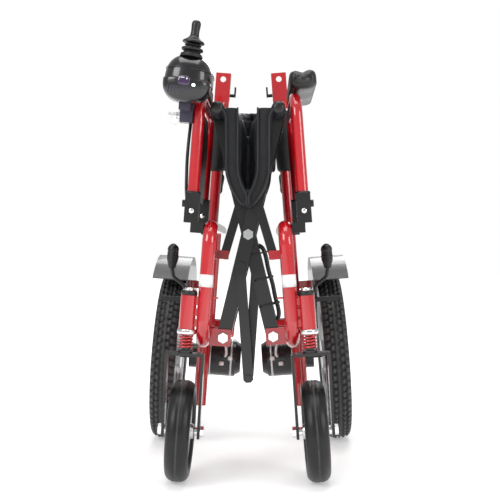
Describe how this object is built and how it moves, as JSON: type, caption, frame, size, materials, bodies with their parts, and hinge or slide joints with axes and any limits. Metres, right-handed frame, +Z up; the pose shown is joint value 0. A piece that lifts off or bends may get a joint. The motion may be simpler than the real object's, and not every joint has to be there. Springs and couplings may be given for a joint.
{
  "type": "power wheelchair",
  "caption": "Folding power wheelchair in its folded state, with scissor cross-brace, sprung front casters, knobby drive wheels and a joystick controller.",
  "frame": {"origin": "on the floor under the middle of the folded chair's bounding box", "axes": "the chair faces -Y, +X to the chair's own left (to the right seen from the front), +Z up"},
  "size_m": [0.475, 0.755, 0.8926],
  "materials": {
    "red_frame": "gloss powder coat",
    "black_paint": "satin powder coat",
    "chrome": "polished",
    "steel": "brushed",
    "tyre": "moulded rubber",
    "rim": "cast, painted silver",
    "black_plastic": "fine grain",
    "gloss_black": "glossy",
    "grey_guard": "semi gloss light grey",
    "fabric": "black woven nylon",
    "pad": "skinned foam",
    "clear": "translucent white",
    "rubber": "soft rubber",
    "spring_red": "painted spring steel"
  },
  "bodies": {
    "frame_left": {"side_frame_left": "red_frame", "drive_motor_left": "black_paint", "mudguard_left": "grey_guard", "armrest_socket_left": "black_plastic"},
    "frame_right": {"side_frame_right": "red_frame", "drive_motor_right": "black_paint", "mudguard_right": "grey_guard", "armrest_socket_right": "black_plastic", "back_sleeve_right": "fabric"},
    "brace_a": {"cross_brace_left": "black_paint", "pivot_bolts_left": "chrome"},
    "brace_b": {"cross_brace_right": "black_paint", "pivot_bolts_right": "chrome", "wiring_harness": "rubber"},
    "seat_left": {"seat_cushion_left": "fabric"},
    "back_low_left": {"back_lower_left": "fabric"},
    "back_up_left": {"back_upper_left": "fabric"},
    "upper_frame_left": {"upper_back_post_left": "red_frame", "push_grip_left": "rubber"},
    "lever_back_left": {"back_release_lever_left": "black_paint"},
    "link_left": {"link_arm_left": "black_paint"},
    "stretch_left": {"stretcher_bar_left": "black_paint"},
    "caster_head_left": {"caster_spring_left": "spring_red"},
    "caster_fork_left": {"caster_fork_left": "black_paint", "caster_fasteners_left": "chrome"},
    "caster_wheel_left": {"caster_tyre_left": "tyre", "caster_rim_left": "rim"},
    "drive_wheel_left": {"drive_tyre_left": "tyre", "drive_rim_left": "rim"},
    "brake_left": {"brake_lever_left": "black_plastic"},
    "arm_left": {"armrest_tube_left": "red_frame", "armrest_pad_left": "pad", "side_guard_left": "black_plastic", "controller_top_case": "gloss_black", "controller_bottom_case": "black_plastic", "controller_mount": "black_paint", "controller_cable": "rubber"},
    "seat_right": {"seat_cushion_right": "fabric"},
    "back_low_right": {"back_lower_right": "fabric"},
    "back_up_right": {"back_upper_right": "fabric"},
    "upper_frame_right": {"upper_back_post_right": "red_frame", "push_grip_right": "rubber"},
    "lever_back_right": {"back_release_lever_right": "black_paint"},
    "link_right": {"link_arm_right": "black_paint"},
    "stretch_right": {"stretcher_bar_right": "black_paint"},
    "caster_head_right": {"caster_spring_right": "spring_red"},
    "caster_fork_right": {"caster_fork_right": "black_paint", "caster_fasteners_right": "chrome"},
    "caster_wheel_right": {"caster_tyre_right": "tyre", "caster_rim_right": "rim"},
    "drive_wheel_right": {"drive_tyre_right": "tyre", "drive_rim_right": "rim"},
    "brake_right": {"brake_lever_right": "black_plastic"},
    "arm_right": {"armrest_tube_right": "red_frame", "armrest_pad_right": "pad", "side_guard_right": "black_plastic"},
    "joystick_base": {"joystick_boot": "rubber"},
    "joystick": {"joystick_knob": "rubber"},
    "button": {"power_button": "clear"},
    "knob": {"clamp_knob": "clear"}
  },
  "joints": [
    {"name": "fold", "type": "hinge", "parent": "frame_left", "child": "brace_a", "pos_m": [-0.05, -0.2225, 0.281], "axis": [0, 1, 0], "range_deg": [0, 41.85]},
    {"name": "brace_cross", "type": "hinge", "parent": "brace_a", "child": "brace_b", "pos_m": [0, -0.2225, 0.48701], "axis": [0, 1, 0], "range_deg": [-83.72, 0]},
    {"name": "frame_spread", "type": "hinge", "parent": "brace_b", "child": "frame_right", "pos_m": [0.05, -0.2225, 0.281], "axis": [0, 1, 0], "range_deg": [0, 41.87]},
    {"name": "seat_left_tilt", "type": "hinge", "parent": "brace_b", "child": "seat_left", "pos_m": [-0.05947, 0, 0.73189], "axis": [0, 1, 0], "range_deg": [-20.29, 0]},
    {"name": "seat_crease", "type": "hinge", "parent": "seat_left", "child": "seat_right", "pos_m": [0, 0, 0.52841], "axis": [0, 1, 0], "range_deg": [0, 124.26]},
    {"name": "back_left_turn", "type": "hinge", "parent": "frame_left", "child": "back_low_left", "pos_m": [-0.07665, 0.1125, 0.71355], "axis": [0.0732, 0, 0.9973], "range_deg": [-57.22, 0]},
    {"name": "back_crease", "type": "hinge", "parent": "back_low_left", "child": "back_low_right", "pos_m": [0, 0.30271, 0.714], "axis": [0, 0, 1], "range_deg": [0, 114.42]},
    {"name": "upper_fold_left", "type": "hinge", "parent": "frame_left", "child": "upper_frame_left", "pos_m": [-0.06757, 0.1255, 0.83721], "axis": [0.9973, 0, -0.0732], "range_deg": [0, 150]},
    {"name": "upper_fold_right", "type": "hinge", "parent": "frame_right", "child": "upper_frame_right", "pos_m": [0.06757, 0.1255, 0.83721], "axis": [0.9973, 0, 0.0732], "range_deg": [0, 150]},
    {"name": "back_up_left_turn", "type": "hinge", "parent": "upper_frame_left", "child": "back_up_left", "pos_m": [-0.07391, 0.1755, 0.75084], "axis": [-0.0634, 0.5, -0.8637], "range_deg": [0, 62.52]},
    {"name": "back_up_crease", "type": "hinge", "parent": "back_up_left", "child": "back_up_right", "pos_m": [0, 0.34068, 0.84676], "axis": [0, 0.5, -0.866], "range_deg": [-125.02, 0]},
    {"name": "link_left_turn", "type": "hinge", "parent": "frame_left", "child": "link_left", "pos_m": [-0.05, -0.186, 0.446], "axis": [0, 1, 0], "range_deg": [0, 75.52]},
    {"name": "link_right_turn", "type": "hinge", "parent": "frame_right", "child": "link_right", "pos_m": [0.05, -0.258, 0.446], "axis": [0, 1, 0], "range_deg": [-75.52, 0]},
    {"name": "stretch_left_turn", "type": "hinge", "parent": "brace_a", "child": "stretch_left", "pos_m": [-0.01558, -0.256, 0.42288], "axis": [0, 1, 0], "range_deg": [-51.98, 0]},
    {"name": "stretch_right_turn", "type": "hinge", "parent": "brace_b", "child": "stretch_right", "pos_m": [0.01558, -0.189, 0.42288], "axis": [0, 1, 0], "range_deg": [0, 51.98]},
    {"name": "caster_swivel_left", "type": "hinge", "parent": "frame_left", "child": "caster_head_left", "pos_m": [-0.11794, -0.3175, 0.30146], "axis": [0.0732, 0, 0.9973], "continuous": true},
    {"name": "caster_spring_travel_left", "type": "slide", "parent": "caster_head_left", "child": "caster_fork_left", "axis": [0.0732, 0, 0.9973], "range_m": [0, 0.006], "stiffness_N_per_m": 60000, "deforming": ["caster_spring_left"]},
    {"name": "caster_spin_left", "type": "hinge", "parent": "caster_fork_left", "child": "caster_wheel_left", "pos_m": [-0.13273, -0.2775, 0.1001], "axis": [0.9973, 0, -0.0732], "continuous": true},
    {"name": "drive_spin_left", "type": "hinge", "parent": "frame_left", "child": "drive_wheel_left", "pos_m": [-0.19686, 0.1745, 0.20308], "axis": [0.9973, 0, -0.0732], "continuous": true},
    {"name": "armrest_lift_left", "type": "slide", "parent": "frame_left", "child": "arm_left", "axis": [0.0732, 0, 0.9973], "range_m": [0, 0.05]},
    {"name": "brake_turn_left", "type": "hinge", "parent": "frame_left", "child": "brake_left", "pos_m": [-0.14357, -0.0575, 0.34847], "axis": [0.9973, 0, -0.0732], "range_deg": [0, 32]},
    {"name": "back_lever_turn_left", "type": "hinge", "parent": "frame_left", "child": "lever_back_left", "pos_m": [-0.0505, 0.1255, 0.82393], "axis": [0.9973, 0, -0.0732], "range_deg": [-30, 0]},
    {"name": "caster_swivel_right", "type": "hinge", "parent": "frame_right", "child": "caster_head_right", "pos_m": [0.11794, -0.3175, 0.30146], "axis": [-0.0732, 0, 0.9973], "continuous": true},
    {"name": "caster_spring_travel_right", "type": "slide", "parent": "caster_head_right", "child": "caster_fork_right", "axis": [-0.0732, 0, 0.9973], "range_m": [0, 0.006], "stiffness_N_per_m": 60000, "deforming": ["caster_spring_right"]},
    {"name": "caster_spin_right", "type": "hinge", "parent": "caster_fork_right", "child": "caster_wheel_right", "pos_m": [0.13273, -0.2775, 0.1001], "axis": [0.9973, 0, 0.0732], "continuous": true},
    {"name": "drive_spin_right", "type": "hinge", "parent": "frame_right", "child": "drive_wheel_right", "pos_m": [0.19686, 0.1745, 0.20308], "axis": [0.9973, 0, 0.0732], "continuous": true},
    {"name": "armrest_lift_right", "type": "slide", "parent": "frame_right", "child": "arm_right", "axis": [-0.0732, 0, 0.9973], "range_m": [0, 0.05]},
    {"name": "brake_turn_right", "type": "hinge", "parent": "frame_right", "child": "brake_right", "pos_m": [0.14357, -0.0575, 0.34847], "axis": [0.9973, 0, 0.0732], "range_deg": [0, 32]},
    {"name": "back_lever_turn_right", "type": "hinge", "parent": "frame_right", "child": "lever_back_right", "pos_m": [0.0505, 0.1255, 0.82393], "axis": [0.9973, 0, 0.0732], "range_deg": [-30, 0]},
    {"name": "joystick_fore_aft", "type": "hinge", "parent": "arm_left", "child": "joystick_base", "pos_m": [-0.10601, -0.345, 0.82782], "axis": [0.9877, 0, -0.1564], "range_deg": [-14, 14], "stiffness_Nm_per_rad": 0.15},
    {"name": "joystick_side", "type": "hinge", "parent": "joystick_base", "child": "joystick", "pos_m": [-0.10601, -0.345, 0.82782], "axis": [0, 1, 0], "range_deg": [-14, 14], "stiffness_Nm_per_rad": 0.15},
    {"name": "power_button_press", "type": "slide", "parent": "arm_left", "child": "button", "axis": [-0.1564, 0, -0.9877], "range_m": [0, 0.0015], "stiffness_N_per_m": 900},
    {"name": "clamp_knob_turn", "type": "hinge", "parent": "arm_left", "child": "knob", "pos_m": [-0.13635, -0.292, 0.71994], "axis": [0.9973, 0, -0.0732], "range_deg": [-90, 90]}
  ],
  "couplings": [
    {"joint": "brace_cross", "follows": "fold", "ratio": -2},
    {"joint": "frame_spread", "follows": "fold", "ratio": 1},
    {"joint": "seat_left_tilt", "follows": "fold", "ratio": -0.4844},
    {"joint": "seat_crease", "follows": "fold", "ratio": 2.9688},
    {"joint": "back_left_turn", "follows": "fold", "ratio": -1.3668},
    {"joint": "back_crease", "follows": "fold", "ratio": 2.7336},
    {"joint": "upper_fold_right", "follows": "upper_fold_left", "ratio": 1},
    {"joint": "back_up_left_turn", "follows": "fold", "ratio": 1.4934},
    {"joint": "back_up_crease", "follows": "fold", "ratio": -2.9869},
    {"joint": "link_left_turn", "follows": "fold", "ratio": 1.804},
    {"joint": "link_right_turn", "follows": "fold", "ratio": -1.804},
    {"joint": "stretch_left_turn", "follows": "fold", "ratio": -1.2416},
    {"joint": "stretch_right_turn", "follows": "fold", "ratio": 1.2416}
  ]
}
